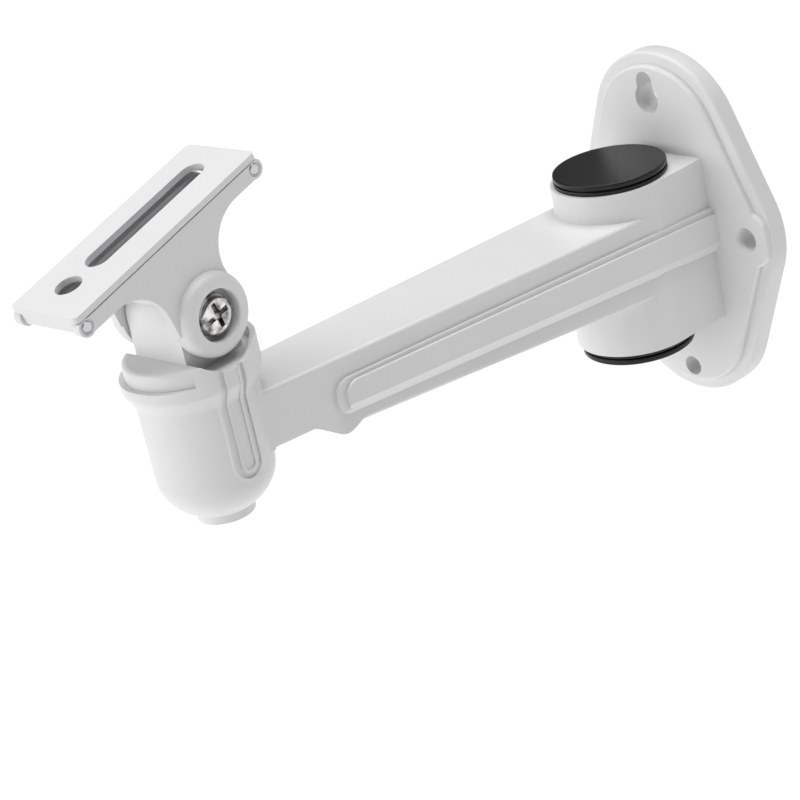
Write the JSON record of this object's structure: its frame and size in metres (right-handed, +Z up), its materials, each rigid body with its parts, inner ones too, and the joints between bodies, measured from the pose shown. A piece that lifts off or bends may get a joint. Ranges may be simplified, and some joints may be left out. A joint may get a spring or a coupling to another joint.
{
  "type": "camera wall bracket",
  "caption": "Wall bracket for a security camera: plate, tapered cast arm with a barrel and plugs, and a panning, tilting head with a slotted plate.",
  "frame": {"origin": "centre of the wall plate's back face", "axes": "+Y into the wall, -Y out along the arm, +Z up"},
  "size_m": [0.0718, 0.2115, 0.1279],
  "materials": {
    "white_paint": "satin",
    "black_plastic": "satin",
    "zinc_steel": "satin",
    "chrome": "polished",
    "nylon": "satin"
  },
  "bodies": {
    "wall_side": {"wall_plate": "white_paint", "plate_screws": "zinc_steel", "arm_casting": "white_paint", "top_cap": "black_plastic", "bottom_cap": "black_plastic"},
    "neck": {"swivel_neck": "white_paint", "pan_friction_ring": "nylon", "pan_washer": "zinc_steel", "pan_spring_washer": "zinc_steel", "pan_screw": "zinc_steel"},
    "head": {"saddle": "white_paint", "camera_plate": "white_paint", "front_pin": "zinc_steel", "rear_pin": "zinc_steel", "tilt_screw": "chrome", "tilt_washer": "zinc_steel", "tilt_spring_washer": "zinc_steel", "tilt_nut": "zinc_steel", "tilt_friction_washer_near": "nylon", "tilt_friction_washer_far": "nylon"}
  },
  "joints": [
    {"name": "pan", "type": "hinge", "parent": "wall_side", "child": "neck", "pos_m": [0, -0.1737, 0.028], "axis": [0, 0, 1], "continuous": true},
    {"name": "tilt", "type": "hinge", "parent": "neck", "child": "head", "pos_m": [-0.00011, -0.1725, 0.0449], "axis": [0.9959, 0.0906, 0], "range_deg": [-59.5, 30.5]}
  ]
}
